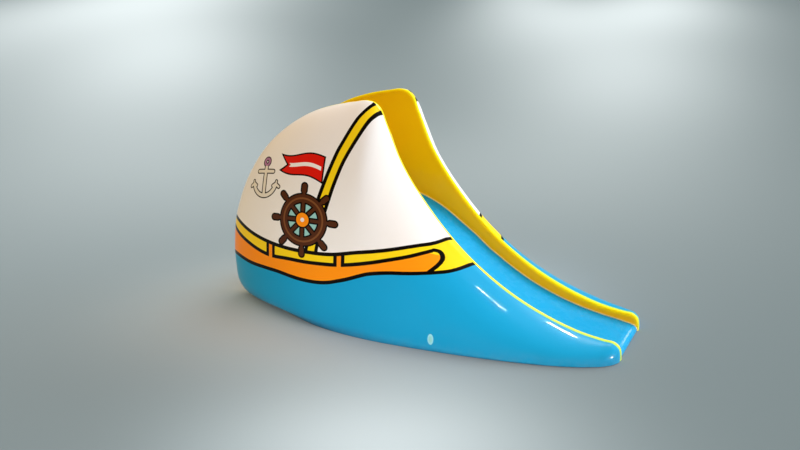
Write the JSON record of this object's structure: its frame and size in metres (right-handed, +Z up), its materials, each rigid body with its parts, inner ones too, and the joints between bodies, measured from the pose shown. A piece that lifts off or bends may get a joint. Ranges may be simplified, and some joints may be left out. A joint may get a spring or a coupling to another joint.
{
  "type": "moulded playground slide",
  "caption": "Low moulded fibreglass slide for small children: bulging side shells, a chute with side walls, a platform and rear steps.",
  "frame": {"origin": "middle of the footprint on the ground", "axes": "+X towards the chute's exit, +Y to the left of someone sliding down, +Z up"},
  "size_m": [2.862, 1.3618, 1.5155],
  "materials": {
    "outer_gelcoat": "gloss gelcoat, white above and blue below, with yellow and orange bands and black lines",
    "yellow_gelcoat": "gloss gelcoat",
    "blue_gelcoat": "gloss gelcoat",
    "raw_laminate": "unpainted glass-fibre laminate"
  },
  "bodies": {
    "root": {"left_side_shell": "outer_gelcoat", "left_rim": "yellow_gelcoat", "left_inner_wall": "yellow_gelcoat", "left_base_flange": "raw_laminate", "left_rib_front": "raw_laminate", "left_rib_middle": "raw_laminate", "left_rib_rear": "raw_laminate", "right_side_shell": "outer_gelcoat", "right_rim": "yellow_gelcoat", "right_inner_wall": "yellow_gelcoat", "right_base_flange": "raw_laminate", "right_rib_front": "raw_laminate", "right_rib_middle": "raw_laminate", "right_rib_rear": "raw_laminate", "chute_bed": "blue_gelcoat", "exit_lip": "blue_gelcoat", "platform_deck": "blue_gelcoat", "step_tread_1": "blue_gelcoat", "step_tread_2": "blue_gelcoat", "step_tread_3": "blue_gelcoat", "step_riser_1": "yellow_gelcoat", "step_riser_2": "yellow_gelcoat", "step_riser_3": "yellow_gelcoat", "step_riser_4": "yellow_gelcoat", "bed_stiffener_1": "raw_laminate", "bed_stiffener_2": "raw_laminate", "bed_stiffener_3": "raw_laminate", "platform_bearer_front": "raw_laminate", "platform_bearer_rear": "raw_laminate"}
  },
  "joints": []
}
